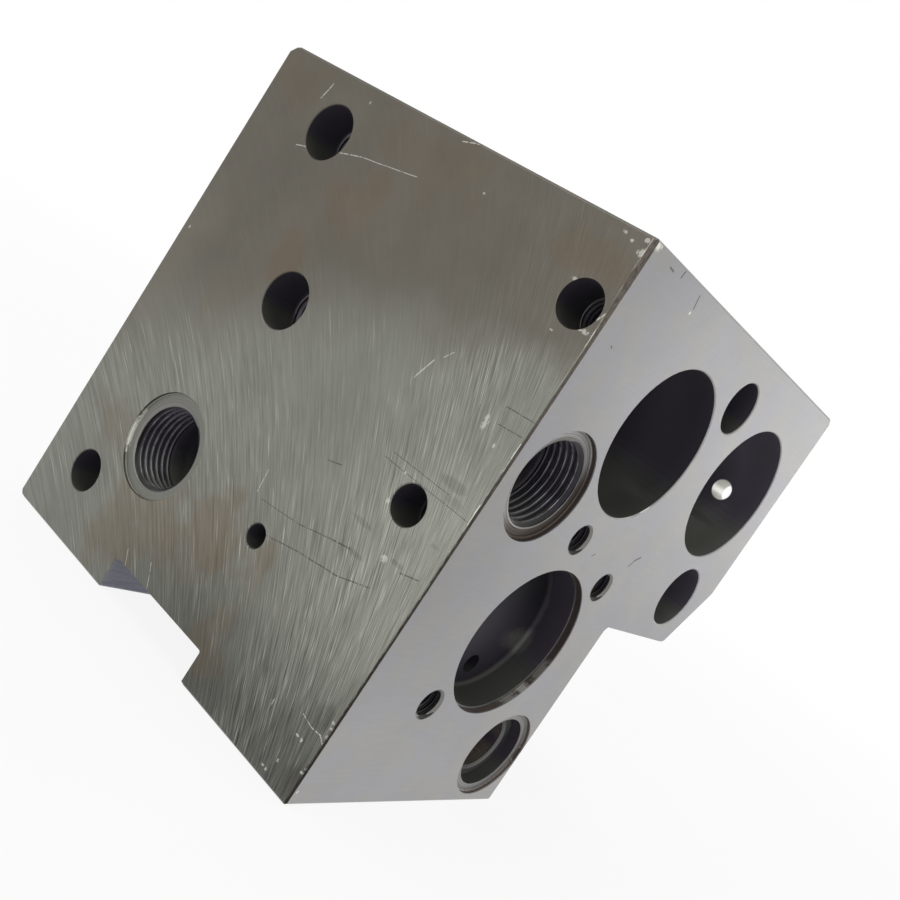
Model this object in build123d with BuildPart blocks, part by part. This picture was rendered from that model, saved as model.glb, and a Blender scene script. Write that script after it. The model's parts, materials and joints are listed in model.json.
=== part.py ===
from build123d import *
from math import radians, tan
import os

# Hydraulic valve body: one machined steel block, in millimetres.
# +X runs to the right along the front face, +Y from the front face to the back
# and +Z up.  The block stands on its foot, and the origin is under the middle
# of the block, on the surface that it stands on.

# Block: the upper part overhangs the foot on the right and ends in a bevel
width = 95.7
depth = 90.7
height = 100.0
foot_width = 60.2
foot_height = 41.2
bevel_width = 7.7
bevel_height = 13.8
notch_radius = 1.3

# Slot milled from left to right across the underside
slot_from_front = 30.2
slot_width = 28.2
slot_height = 6.4
slot_radius = 0.5

# Edges: a light break all round, more where the block has been knocked or dressed
edge_break = 0.4
front_corner_break = 0.45
top_right_break = 1.0
top_back_break = 2.0
bottom_back_break = 1.4

# Drilled holes end in the cone of their drill, and plain rims are broken at 45 degrees
point_angle = 118
rim_break = 0.2
rim_angle = 90

# Two cartridge cavities, bored side by side from the front
cavity_radius = 14.5
cavity_depth = 45.0
cavity_below_top = 24.5
left_cavity_from_left = 35.5
right_cavity_from_right = 21.0

# Cross drilling from the right face into the right cavity
cross_radius = 2.2
cross_from_front = 9.2
cross_below_cavity_axis = 0.5

# Pilot pocket: a shallow round pocket with a wider rim and an off-centre drilling
pocket_from_left = 34.0
pocket_above_bottom = 34.3
pocket_radius = 14.7
pocket_depth = 7.6
pocket_corner = 1.0
pocket_rim_radius = 15.0
pocket_rim_depth = 1.5
pilot_radius = 1.9
pilot_right_of_pocket = 3.3
pilot_below_pocket = 9.6

# Tapped holes of the pilot cover, M6, bored to the thread's major radius
cover_screw_radius = 3.0
cover_screw_depth = 14.0
cover_circle_radius = 20.0
cover_circle_angle = 45
cover_screws = 2
third_screw_from_left = 31.1
third_screw_above_bottom = 55.2

# Threaded ports, G3/8, bored to the thread's major radius, with a spot-faced seat
thread_radius = 8.33
thread_depth = 10.5
thread_relief = 1.5
core_radius = 7.0
seat_radius = 10.0
seat_corner = 0.3
front_port_from_left = 13.4
front_port_above_bottom = 61.2
front_port_depth = 28.0
front_seat_depth = 1.1
side_port_from_front = 63.4
side_port_above_bottom = 27.0
side_port_depth = 38.0
side_seat_depth = 0.6

# Plug bore low on the foot: spot face, plug seat and drilling
plug_from_step = 9.5
plug_above_bottom = 10.8
plug_face_radius = 9.15
plug_face_depth = 0.9
plug_face_corner = 0.3
plug_seat_radius = 7.5
plug_seat_depth = 3.4
plug_seat_chamfer = 0.5
plug_bore_radius = 5.4
plug_bore_depth = 23.0

# Spool bore above the bevel
spool_radius = 6.8
spool_depth = 40.0
spool_from_right = 15.4
spool_above_foot = 10.5

# Fixing holes for M10: one plain hole in the front face between the cavities, and
# two in the left face with a plain lead-in and a thread behind it
bolt_radius = 5.25
bolt_thread_radius = 5.0
bolt_lead_in = 8.0
bolt_depth = 30.0
upper_bolt_from_front = 70.0
upper_bolt_below_top = 10.7
lower_bolt_from_front = 57.0
lower_bolt_above_bottom = 60.9
plain_bolt_depth = 52.0
plain_bolt_from_left = 54.1
plain_bolt_below_top = 10.8

# Tapped hole M8 beside the front edge, bored to the thread's major radius
corner_screw_radius = 4.0
corner_screw_depth = 19.0
corner_screw_from_front = 5.3
corner_screw_below_top = 13.5

# Oil drillings from the left face
gallery_radius = 4.0
gallery_depth = 45.0
gallery_from_back = 13.0
gallery_above_bottom = 13.1
feed_radius = 2.1
feed_from_front = 33.7
feed_above_bottom = 27.1
sense_radius = 3.4
sense_lead_in = 8.0
sense_inner_radius = 3.0
sense_depth = 23.0
sense_from_front = 11.3
sense_above_bottom = 47.4


def on_front(x, z):
    """Plane on the front face, x from the left edge and z from the bottom."""
    return Plane(origin=(x - width / 2, -depth / 2, z), x_dir=(1, 0, 0), z_dir=(0, -1, 0))


def on_left(y, z):
    """Plane on the left face, y from the front edge and z from the bottom."""
    return Plane(origin=(-width / 2, y - depth / 2, z), x_dir=(0, -1, 0), z_dir=(-1, 0, 0))


def on_right(y, z):
    """Plane on the right face, y from the front edge and z from the bottom."""
    return Plane(origin=(width / 2, y - depth / 2, z), x_dir=(0, 1, 0), z_dir=(1, 0, 0))


def point_length(radius):
    """Length of the cone that a drill of this radius leaves."""
    return radius / tan(radians(point_angle / 2))


def milled(radius, bottom):
    """Flat-bottomed bore with a broken rim."""
    CounterSinkHole(radius, radius + rim_break, bottom, rim_angle)


def drill_point(radius, bottom):
    """Cone that the drill leaves below the straight part of a hole."""
    with Locations((0, 0, -bottom)):
        Cone(0, radius, point_length(radius), align=(Align.CENTER, Align.CENTER, Align.MAX),
             mode=Mode.SUBTRACT)


def drilled(radius, bottom):
    """Drilled hole with a broken rim and the drill's cone at the bottom."""
    milled(radius, bottom)
    drill_point(radius, bottom)


def tapped(radius, bottom):
    """Tapped hole, straight from its rim, with the drill's cone at the bottom."""
    Hole(radius, bottom)
    drill_point(radius, bottom)


def turned(place, outline, corner=None, corner_radius=0):
    """Cut a bore turned from an outline of (radius, height above the face) points.

    The outline closes along the axis.  One inner corner of it may be rounded.
    """
    across = place.x_dir.cross(place.z_dir)
    with BuildSketch(Plane(place.origin, x_dir=place.x_dir, z_dir=across)) as section:
        with BuildLine():
            Polyline(*outline, close=True)
        make_face()
        if corner:
            fillet(section.vertices().sort_by_distance(corner)[0], corner_radius)
    revolve(section.sketch, axis=Axis(place.origin, place.z_dir), mode=Mode.SUBTRACT)


def port(place, seat_depth, port_depth):
    """Threaded port: spot-faced seat, thread length, relief cone and drilled core."""
    outline = [
        (0, 0),
        (seat_radius, 0),
        (seat_radius, -seat_depth),
        (thread_radius, -seat_depth),
        (thread_radius, -thread_depth),
        (core_radius, -thread_depth - thread_relief),
        (core_radius, -port_depth),
        (0, -port_depth - point_length(core_radius)),
    ]
    turned(place, outline, (seat_radius, -seat_depth), seat_corner)


def plug_bore(place):
    """Plug bore: spot face, plug seat with a chamfered step, and drilling."""
    outline = [
        (0, 0),
        (plug_face_radius, 0),
        (plug_face_radius, -plug_face_depth),
        (plug_seat_radius, -plug_face_depth),
        (plug_seat_radius, -plug_seat_depth),
        (plug_bore_radius + plug_seat_chamfer, -plug_seat_depth),
        (plug_bore_radius, -plug_seat_depth - plug_seat_chamfer),
        (plug_bore_radius, -plug_bore_depth),
        (0, -plug_bore_depth - point_length(plug_bore_radius)),
    ]
    turned(place, outline, (plug_face_radius, -plug_face_depth), plug_face_corner)


def pocket(place):
    """Round pocket with a wider rim and a rounded corner at its flat floor."""
    outline = [
        (0, 0),
        (pocket_rim_radius, 0),
        (pocket_rim_radius, -pocket_rim_depth),
        (pocket_radius, -pocket_rim_depth),
        (pocket_radius, -pocket_depth),
        (0, -pocket_depth),
    ]
    turned(place, outline, (pocket_radius, -pocket_depth), pocket_corner)


with BuildPart() as valve_body:
    # Stepped outline of the front face, carried straight to the back
    with BuildSketch(on_front(0, 0)) as outline:
        notch = (foot_width, foot_height)
        top_right = (width, height)
        corners = [
            (0, 0),
            (foot_width, 0),
            notch,
            (width - bevel_width, foot_height),
            (width, foot_height + bevel_height),
            top_right,
            (0, height),
        ]
        with BuildLine():
            Polyline(*corners, close=True)
        make_face()
        fillet(outline.vertices().sort_by_distance(notch)[0], notch_radius)
        chamfer(outline.vertices().sort_by_distance(top_right)[0], top_right_break)
        plain_corners = [c for c in corners if c not in (notch, top_right)]
        chamfer([outline.vertices().sort_by_distance(c)[0] for c in plain_corners], edge_break)
    extrude(amount=-depth)

    # Top and bottom of the back, the left front corner, and the rest of the front and back edges
    top_back = valve_body.edges().filter_by(Axis.X).group_by(Axis.Z)[-1].sort_by(Axis.Y)[-1]
    chamfer(top_back, top_back_break)
    bottom_back = valve_body.edges().filter_by(Axis.X).group_by(Axis.Z)[0].sort_by(Axis.Y)[-1]
    chamfer(bottom_back, bottom_back_break)
    left_front = valve_body.edges().filter_by(Axis.Z).group_by(Axis.X)[0].sort_by(Axis.Y)[0]
    chamfer(left_front, front_corner_break)
    front_edges = valve_body.faces().sort_by(Axis.Y)[0].edges()
    left_front = front_edges.filter_by(Axis.Z).sort_by(Axis.X)[:1]
    back_edges = valve_body.faces().sort_by(Axis.Y)[-1].edges()
    across_back = back_edges.filter_by(Axis.X).sort_by(Axis.Z)
    chamfer(front_edges - left_front + (back_edges - across_back[:1] - across_back[-1:]), edge_break)

    # Slot across the underside, with its mouth broken
    with BuildSketch(on_left(slot_from_front, 0)) as slot:
        Rectangle(slot_width, slot_height, align=(Align.MAX, Align.MIN))
        fillet(slot.vertices().group_by(Axis.Y)[-1], slot_radius)
    extrude(amount=-width, mode=Mode.SUBTRACT)
    chamfer(valve_body.edges(Select.LAST).filter_by(Axis.X).group_by(Axis.Z)[0], edge_break)

    # Cartridge cavities, and the cross drilling that meets the right one
    cavity_height = height - cavity_below_top
    left_cavity = on_front(left_cavity_from_left, cavity_height)
    right_cavity = on_front(width - right_cavity_from_right, cavity_height)
    with Locations(left_cavity, right_cavity):
        milled(cavity_radius, cavity_depth)
    with Locations(on_right(cross_from_front, cavity_height - cross_below_cavity_axis)):
        milled(cross_radius, right_cavity_from_right)

    # Pilot pocket, the tapped holes round it, and its drilling through to the side port
    pocket_place = on_front(pocket_from_left, pocket_above_bottom)
    pocket(pocket_place)
    with Locations(pocket_place):
        with PolarLocations(cover_circle_radius, cover_screws, start_angle=cover_circle_angle):
            tapped(cover_screw_radius, cover_screw_depth)
        with Locations((pilot_right_of_pocket, -pilot_below_pocket)):
            drilled(pilot_radius, side_port_from_front)
    with Locations(on_front(third_screw_from_left, third_screw_above_bottom)):
        tapped(cover_screw_radius, cover_screw_depth)

    # Ports, plug bore and spool bore
    port(on_front(front_port_from_left, front_port_above_bottom), front_seat_depth, front_port_depth)
    port(on_left(side_port_from_front, side_port_above_bottom), side_seat_depth, side_port_depth)
    plug_bore(on_front(foot_width - plug_from_step, plug_above_bottom))
    with Locations(on_front(width - spool_from_right, foot_height + spool_above_foot)):
        drilled(spool_radius, spool_depth)

    # Fixing holes
    upper_bolt = on_left(upper_bolt_from_front, height - upper_bolt_below_top)
    lower_bolt = on_left(lower_bolt_from_front, lower_bolt_above_bottom)
    with Locations(upper_bolt, lower_bolt):
        milled(bolt_radius, bolt_lead_in)
        drilled(bolt_thread_radius, bolt_depth)
    with Locations(on_front(plain_bolt_from_left, height - plain_bolt_below_top)):
        drilled(bolt_radius, plain_bolt_depth)
    with Locations(on_left(corner_screw_from_front, height - corner_screw_below_top)):
        tapped(corner_screw_radius, corner_screw_depth)

    # Oil drillings: the feed ends in the pocket's drilling, and the sense hole is stepped
    with Locations(on_left(depth - gallery_from_back, gallery_above_bottom)):
        drilled(gallery_radius, gallery_depth)
    with Locations(on_left(feed_from_front, feed_above_bottom)):
        drilled(feed_radius, pocket_from_left + pilot_right_of_pocket)
    with Locations(on_left(sense_from_front, sense_above_bottom)):
        milled(sense_radius, sense_lead_in)
        drilled(sense_inner_radius, sense_depth)

valve_body.part.label = "valve_body"
os.makedirs("parts", exist_ok=True)
export_step(valve_body.part, "parts/valve_body.step")
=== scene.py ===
"""Looks of the valve body: the steel of the block, the threads of its holes and the photograph's stage."""

import json
import math

import bpy
import numpy as np
from bpy.props import FloatProperty, FloatVectorProperty, IntProperty, PointerProperty
from mathutils import Matrix, Vector


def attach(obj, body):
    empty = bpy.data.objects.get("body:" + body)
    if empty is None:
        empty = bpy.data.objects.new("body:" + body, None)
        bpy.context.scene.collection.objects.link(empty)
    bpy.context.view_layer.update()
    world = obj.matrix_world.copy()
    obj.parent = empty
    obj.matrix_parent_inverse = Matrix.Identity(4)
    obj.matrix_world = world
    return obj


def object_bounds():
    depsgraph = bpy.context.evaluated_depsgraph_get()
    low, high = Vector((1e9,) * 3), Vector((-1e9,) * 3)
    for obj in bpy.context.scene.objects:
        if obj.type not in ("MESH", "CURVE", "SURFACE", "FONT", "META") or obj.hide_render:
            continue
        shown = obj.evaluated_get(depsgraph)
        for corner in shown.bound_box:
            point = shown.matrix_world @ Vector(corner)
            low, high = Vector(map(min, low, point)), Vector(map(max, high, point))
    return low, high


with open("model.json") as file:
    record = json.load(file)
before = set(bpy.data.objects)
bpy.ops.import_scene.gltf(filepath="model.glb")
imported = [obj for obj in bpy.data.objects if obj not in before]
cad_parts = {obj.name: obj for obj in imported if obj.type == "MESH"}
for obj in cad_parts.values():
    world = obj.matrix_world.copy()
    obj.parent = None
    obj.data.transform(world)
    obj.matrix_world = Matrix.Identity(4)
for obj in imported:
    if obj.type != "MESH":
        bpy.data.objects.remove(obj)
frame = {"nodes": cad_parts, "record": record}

bl_info = {
    "name": "Valve body looks",
    "version": (1, 0, 0),
    "blender": (4, 5, 0),
    "location": "3D View > Sidebar > Valve body",
    "description": "Dresses the machined valve body with threads, worked steel and a plain stage",
    "category": "Object",
}

BODY = "root"
BLOCK = "valve_body"
MM = 0.001
MM_PER_METRE = 1000
CAD_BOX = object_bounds()
MOUNTS = {m["name"]: m for m in frame["record"]["mounts"]}

# Forms of the block that its finishes follow, in millimetres
FOOT_WIDTH, FOOT_HEIGHT = 60.2, 41.2
BEVEL_WIDTH, BEVEL_HEIGHT = 7.7, 13.8
TOP_BACK_CUT, BOTTOM_BACK_CUT, RIGHT_CUT = 2.0, 1.4, 1.0
SLOT_WIDTH, SLOT_HEIGHT, SLOT_MIDDLE = 28.2, 6.4, 44.3
# The slot's mask reaches past its walls as far as its broken mouth does, and hardly past its roof
SLOT_MOUTH, SLOT_SLACK = 0.45, 0.1
# Borders of the left and the front face, as the distances at which their masks start and end
LEFT_BORDER, FRONT_BORDER = (0.48, 0.44), (0.06, 0.02)
# Depth under a face at which the holes' broken rims end and their bores begin
RIM_DEPTH = 0.24
# Turned seats: record mount at their middle, radius of their wall and depth of their floor
SEATS = [
    ("port_side", 10.0, 0.6),
    ("port_front", 10.0, 1.1),
    ("plug_seat", 9.15, 0.9),
    ("pilot_pocket", 15.0, 1.5),
]
# How far off a seat's wall, its floor or the plug's step a place still counts as on it
WALL_SLACK, FLOOR_SLACK, STEP_SLACK = 0.36, 0.12, 0.32
# A seat's floor nearer than this to the left face is that of the side port
LEFT_SEAT = 1.0
# Step in the plug's bore, with its radius and depth, and the radius of the drilling behind it
PLUG_STEP_RADIUS, PLUG_STEP_DEPTH, PLUG_BORE = 7.35, 3.6, 5.4
# Rings that the lathe left, per millimetre across a seat's floor and down its wall
RINGS_ACROSS, RINGS_DOWN = 5.0, 7.0
# Places nearer than this to the pilot pocket's axis lie inside it
POCKET_INSIDE = 14.9
# Cross drilling of the right cavity, whose wall is painted bright as lit through it: place from the front and
# the bottom, radius, and start from the left
CROSS_PLACE, CROSS_RADIUS, CROSS_START = (9.2, 75.0, 0), 2.2, 88.0

# Values between which a noise spends most of its time
NOISE_RANGE = (0.3, 0.7)
# Lumps per millimetre of the steel's noises, one number for round lumps and three for stretched ones
MOTTLE_SCALE, WANDER_SCALE = 0.07, 0.13
GRIT_STRETCH = (2.6, 2.6, 1.1)
CHIP_STRETCH = (2.2, 2.2, 0.8)
TOOL_STRETCH = (0.12, 2.4, 2.4)
HATCH_TURN, HATCH_STRETCH = (0, 0.5, 0), (0.15, 0.0, 2.2)
# Grinding wheel of the left face: its radius, and how far behind the front face its middle passed
WHEEL_RADIUS, WHEEL_MIDDLE = 165.2, 164.6
# Lumps per millimetre of its grain and its bright lines, across the arcs and along them, and the lines' layer
GRAIN_STRETCH, LINE_STRETCH = (1.7, 0.1), (2.2, 0.12, 7.0)
# Bright band of the left face: top of its border, fall toward the back, and softness there
BAND_TOP, BAND_FALL, BAND_BEND = 78.0, 0.15, 0.003
BAND_SOFT, BAND_SOFTER = 6.0, 0.1

# Threads: gap between their roots and the bored wall, overlap with it, and a ridge's shape
ROOT_GAP, WALL_OVERLAP = 0.07 * MM, 0.03 * MM
ROOT_FLAT, FLANKS = 0.12, 0.74
ROUNDED, STRAIGHT = 0.45, 0.55
# Crest brightness, partly wear and partly a painted highlight: a base and an extra share per hole
DULL_CREST, WEAR_AND_SHEEN_MORE = 0.86, 0.14
CONE_SLACK = 1e-7
# Values of the threads' attribute "crest" in the roots and in the mouth. The crests have 1
ROOT_VALUE, MOUTH_VALUE = 0.0, 2.0
# Ports: phases of the threads, how far they stop short, depths and radii of their tails, and their mouths
PORT_PHASES = {"port_side": 0.926, "port_front": 0.844}
PORT_SHORT = 1.0
PORT_TAIL = ((0.9, 6.96), (2.6, 7.03))
PORT_MOUTH = (0.0, 2.2)
# Screws: wall radius, length, end of the tail, widening and slope of the mouth, and brightness of the crests,
# partly wear and partly a painted highlight
SCREW_THREADS = {
    "cover": (3.0, 12.0, 14.3, (0.02, 1.1), 0.15),
    "corner": (4.0, 9.0, 11.3, (0.02, 1.0), 1.0),
    "bolt": (5.0, 19.0, 22.4, (0.1, 1.0), 0.5),
}
SCREW_PHASE = 0.1
# The screw threads of the left face start this far behind it. Mounting holes, from the front and the bottom
LEAD_IN = 8.0
UPPER_BOLT, LOWER_BOLT = (70.0, 89.3), (57.0, 60.9)

# Stage, in metres: the floor, the lamps' places and sizes, and the point that they face
FLOOR_RADIUS, FLOOR_CORNERS = 6.0, 96
LAMPS = {
    "key": ((1.2, -0.27, 0.16), 0.5),
    "fill": ((-0.9, -0.1, 0.5), 0.7),
    "top": ((-0.1, 0.2, 1.0), 0.8),
}
LAMP_AIM = (0, 0, 0.05)
WHITE = (1, 1, 1, 1)
# Camera of the photograph: place in metres, directions to the right, up and away, and picture
CAMERA_PLACE = (-0.18339, -0.13302, 0.07653)
CAMERA_RIGHT = Vector((0.49616, -0.67134, 0.55058))
CAMERA_UP = Vector((-0.22764, 0.51136, 0.82867))
CAMERA_AWAY = Vector((0.83786, 0.53648, -0.10089))
SENSOR_WIDTH = 36.0
PICTURE_SHIFT = (-0.0652, 0.0290)
CAMERA_REACH = (0.01, 20.0)


def srgb(red, green, blue):
    """Colour in linear light of a colour written in 0 to 255 screen values."""
    screen = np.array([red, green, blue]) / 255
    linear = np.where(screen <= 0.04045, screen / 12.92, ((screen + 0.055) / 1.055) ** 2.4)
    return (*linear.tolist(), 1.0)


def colour(name, description, *screen):
    """A colour property, with its default written in 0 to 255 screen values."""
    return FloatVectorProperty(name=name, description=description, default=srgb(*screen), size=4,
                               subtype="COLOR", min=0.0, max=1.0)


def length(name, description, millimetres):
    """A length property with its default in millimetres."""
    return FloatProperty(name=name, description=description, default=millimetres * MM, unit="LENGTH",
                         precision=5)


def power(name, description, watts):
    """A property with the power of a lamp."""
    return FloatProperty(name=name, description=description, default=watts, unit="POWER")


class ThreadSettings(bpy.types.PropertyGroup):
    """Sizes of the screw threads."""

    pipe_pitch: length("Port pitch", "Pitch of the pipe thread in the two ports", 1.337)
    pipe_crest: length("Port crest radius", "Inner radius of the ports' threads", 7.475)
    cover_pitch: length("Cover screw pitch", "Pitch of the three small threads", 1.0)
    cover_crest: length("Cover crest radius", "Inner radius of the three small threads", 2.46)
    corner_pitch: length("Corner screw pitch", "Pitch of the thread in the corner hole", 1.25)
    corner_crest: length("Corner crest radius", "Inner radius of the thread in the corner hole", 3.4)
    bolt_pitch: length("Mounting thread pitch", "Pitch of the threads in the mounting holes", 1.5)
    bolt_crest: length("Mounting crest radius", "Inner radius of the threads in the mounting holes", 4.25)
    round_steps: IntProperty(name="Steps round", description="Grid steps round a thread", default=96, min=24)
    turn_steps: IntProperty(name="Steps per turn", description="Grid steps along a pitch", default=14, min=6)


class SteelSettings(bpy.types.PropertyGroup):
    """Colours and finish of the worked steel."""

    milled: colour("Milled faces", "Fine milled steel of the front and the plain faces", 160, 159, 157)
    milled_cool: colour("Milled faces, cool", "Cooler patches of the milled steel", 158, 157, 160)
    ground: colour("Ground face", "Ground steel of the left face, bright band", 131, 132, 124)
    ground_dark: colour("Ground face, dull", "Duller, smoother upper part of the left face", 107, 103, 94)
    stain: colour("Stain", "Light rust stains on the left face", 112, 88, 62)
    slot: colour("Slot", "Bluish milled steel of the slot", 120, 121, 130)
    bore: colour("Bores", "Oily dark steel inside the bores", 78, 74, 84)
    # Painted light: the bores' steel where it faces upward, lighter as if lit from above
    bore_lit: colour("Bores, lower side", "Steel of the bores where it faces upward", 98, 99, 92)
    # Painted reflections: paler streaks and patches inside the bores, and thread roots that face upward
    gleam: colour("Bore streaks", "Cleaner streaks and patches inside the bores", 118, 119, 112)
    rust: colour("Bore rust", "Rusty turned rings in the plug's bore", 124, 112, 98)
    # Also used as painted shade on the front port's floor at its lower right
    seat_wall: colour("Seat walls", "Short walls round the seats and the pocket's rim", 84, 76, 71)
    # Also the colour of painted highlights: glints on rims, a bright crescent in the side port's seat and the
    # lit cross drilling
    bare_and_highlight: colour("Bare metal", "Fresh metal of nicks, scratches and rubbed edges", 225, 224, 215)
    scale: colour("Edge skin", "Brown skin left on the front corner, at the top", 104, 97, 90)
    scale_low: colour("Edge skin, low", "Skin on the lower part of the front corner", 54, 48, 43)
    dark: colour("Dark marks", "Grime in scratches and dents", 52, 47, 42)
    # Crests: partly worn metal, partly a painted highlight
    crest: colour("Thread crests", "Worn crests of the threads", 172, 172, 170)
    mouth: colour("Thread mouths", "Turned mouths of the threads", 128, 126, 122)


class StageSettings(bpy.types.PropertyGroup):
    """Floor, lamps and camera."""

    floor: colour("Floor", "Colour of the floor", 250, 250, 250)
    key_power: power("Key lamp", "Power of the large lamp at the front right", 4.0)
    fill_power: power("Fill lamp", "Power of the lamp at the left", 1.2)
    top_power: power("Top lamp", "Power of the lamp above", 3.0)
    sky: FloatProperty(name="Sky", description="Strength of the light from all round", default=0.45, min=0.0)
    lens: FloatProperty(name="Focal length", description="Focal length for a 36 mm wide picture",
                        default=44.914, unit="CAMERA")


class Net:
    """Adds nodes to one tree, so that a finish reads from top to bottom."""

    def __init__(self, tree):
        self.tree = tree

    def add(self, kind, inputs=(), output=0, **settings):
        """Adds a node, sets its settings and its inputs, and gives one of its outputs."""
        node = self.tree.nodes.new(kind)
        for key, value in settings.items():
            setattr(node, key, value)
        for key, value in dict(inputs).items():
            self.put(node.inputs[key], value)
        return node.outputs[output]

    def put(self, socket, value):
        """Links a socket to another one, or sets its plain value."""
        if isinstance(value, bpy.types.NodeSocket):
            self.tree.links.new(value, socket)
        else:
            socket.default_value = value

    def math(self, operation, *values):
        """One step of arithmetic."""
        return self.add("ShaderNodeMath", dict(enumerate(values)), operation=operation)

    def vector(self, operation, *values, output=0):
        """One step of vector arithmetic. A length or a dot product is its output 1."""
        return self.add("ShaderNodeVectorMath", dict(enumerate(values)), output, operation=operation)

    def scale(self, vector, factor):
        """Vector times a number."""
        return self.add("ShaderNodeVectorMath", {0: vector, "Scale": factor}, operation="SCALE")

    def join(self, *parts):
        """Vector of up to three numbers."""
        return self.add("ShaderNodeCombineXYZ", dict(enumerate(parts)))

    def split(self, vector):
        """The numbers of a vector, by the names X, Y and Z."""
        return self.add("ShaderNodeSeparateXYZ", {0: vector}).node.outputs

    def shade(self, tint, factor):
        """Colour times a number, which may be above 1: an unclamped mix from black."""
        return self.add("ShaderNodeMix", {0: factor, 6: (0, 0, 0, 1), 7: tint}, 2, data_type="RGBA",
                        clamp_factor=False)

    def product(self, *factors):
        """Product of some numbers."""
        total = factors[0]
        for factor in factors[1:]:
            total = self.math("MULTIPLY", total, factor)
        return total

    def most(self, *masks):
        """Largest of some masks."""
        total = masks[0]
        for mask in masks[1:]:
            total = self.math("MAXIMUM", total, mask)
        return total

    def sum(self, first, second):
        """Sum of two numbers."""
        return self.math("ADD", first, second)

    def minus(self, first, second):
        """First number less the second."""
        return self.math("SUBTRACT", first, second)

    def below(self, value, limit):
        """Mask that is 1 where the value is below a limit."""
        return self.math("LESS_THAN", value, limit)

    def above(self, value, limit):
        """Mask that is 1 where the value is above a limit."""
        return self.math("GREATER_THAN", value, limit)

    def around(self, value, middle, reach):
        """Mask that is 1 where the value is within reach of a middle."""
        return self.math("COMPARE", value, middle, reach)

    def ramp(self, value, low, high, to_low=0.0, to_high=1.0, smooth=True):
        """Value taken from low..high to to_low..to_high, with soft ends if smooth.

        A smooth ramp stops at its ends by itself, and a clamp would only fill the shader's memory.
        """
        kind = "SMOOTHSTEP" if smooth else "LINEAR"
        return self.add("ShaderNodeMapRange", {0: value, 1: low, 2: high, 3: to_low, 4: to_high},
                        interpolation_type=kind, clamp=not smooth)

    def vary(self, noise, to_low, to_high, smooth=True):
        """Number that follows a noise between two ends, at which the noise has its usual least and most."""
        return self.ramp(noise, *NOISE_RANGE, to_low, to_high, smooth)

    def span(self, mask, at_none, at_full):
        """Number that goes softly from its value where the mask is 0 to its value where it is 1."""
        return self.ramp(mask, 0.0, 1.0, at_none, at_full)

    def mix(self, factor, first, second):
        """Colour between two colours."""
        return self.add("ShaderNodeMix", {0: factor, 6: first, 7: second}, 2, data_type="RGBA")

    def blend(self, factor, first, second):
        """Number between two numbers."""
        return self.add("ShaderNodeMix", {0: factor, 2: first, 3: second}, 0, data_type="FLOAT")

    def noise(self, place, scale, detail=2.0, roughness=0.5):
        """Smooth noise of 0 to 1 at a place."""
        return self.add("ShaderNodeTexNoise", {"Vector": place, "Scale": scale, "Detail": detail,
                                               "Roughness": roughness})

    def rings(self, along, scale):
        """Smooth noise of 0 to 1 that follows one number, as the rings of a lathe do."""
        return self.add("ShaderNodeTexNoise", {"W": along, "Scale": scale, "Detail": 2.0},
                        noise_dimensions="1D")

    def group(self, name, **inputs):
        """Places a node group, and gives its outputs by their names."""
        node = self.tree.nodes.new("ShaderNodeGroup")
        node.node_tree = bpy.data.node_groups[name]
        for key, value in inputs.items():
            self.put(node.inputs[key], value)
        return node.outputs


VALUE, VECTOR = "NodeSocketFloat", "NodeSocketVector"


def shader_group(name, inputs, outputs):
    """Starts a node group with named sockets, and gives its net, its inputs and its outputs' sockets."""
    tree = bpy.data.node_groups.new(name, "ShaderNodeTree")
    for label, kind in inputs.items():
        tree.interface.new_socket(label, in_out="INPUT", socket_type=kind)
    for label, kind in outputs.items():
        tree.interface.new_socket(label, in_out="OUTPUT", socket_type=kind)
    start = tree.nodes.new("NodeGroupInput")
    end = tree.nodes.new("NodeGroupOutput")
    return Net(tree), start.outputs, end.inputs


def group_place():
    """Group: the place on the block in millimetres from its left face, its front face and its foot."""
    net, _, out = shader_group("Place on the block", {}, {"Place": VECTOR})
    low = CAD_BOX[0] * MM_PER_METRE
    point = net.add("ShaderNodeTexCoord", output="Object")
    net.put(out["Place"], net.vector("MULTIPLY_ADD", point, (MM_PER_METRE,) * 3, (-low.x, -low.y, 0)))


def group_facing():
    """Group: how far a face looks upward, from -1 to 1."""
    net, _, out = shader_group("Facing", {}, {"Up": VALUE})
    normal = net.add("ShaderNodeNewGeometry", output="True Normal")
    net.put(out["Up"], net.split(normal)["Z"])


def group_noises():
    """Group: the noises that the steel's finishes share, each from 0 to 1."""
    names = ("Mottle", "Wander", "Grit", "Chips", "Hatch", "Tool")
    net, given, out = shader_group("Steel noises", {"Place": VECTOR}, dict.fromkeys(names, VALUE))
    place = given["Place"]
    net.put(out["Mottle"], net.noise(place, MOTTLE_SCALE, 3.0, 0.6))
    net.put(out["Wander"], net.noise(place, WANDER_SCALE))
    net.put(out["Grit"], net.noise(net.vector("MULTIPLY", place, GRIT_STRETCH), 1.0, 2.0, 0.7))
    net.put(out["Chips"], net.noise(net.vector("MULTIPLY", place, CHIP_STRETCH), 1.0, 3.0, 0.7))
    slanted = net.add("ShaderNodeMapping", {0: place, 2: HATCH_TURN, 3: HATCH_STRETCH})
    net.put(out["Hatch"], net.noise(slanted, 1.0))
    net.put(out["Tool"], net.noise(net.vector("MULTIPLY", place, TOOL_STRETCH), 1.0))


def group_spot():
    """Group: a soft round or oval spot, 1 at its middle and 0 outside it. Push makes its outline ragged."""
    inputs = {"Point": VECTOR, "Push": VALUE, "Centre": VECTOR, "Radius": VECTOR}
    net, given, out = shader_group("Ragged spot", inputs, {"Mask": VALUE})
    scaled = net.vector("DIVIDE", net.vector("SUBTRACT", given["Point"], given["Centre"]), given["Radius"])
    distance = net.sum(net.vector("LENGTH", scaled, output=1), given["Push"])
    net.put(out["Mask"], net.ramp(distance, 1.0, 0.4))


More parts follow.
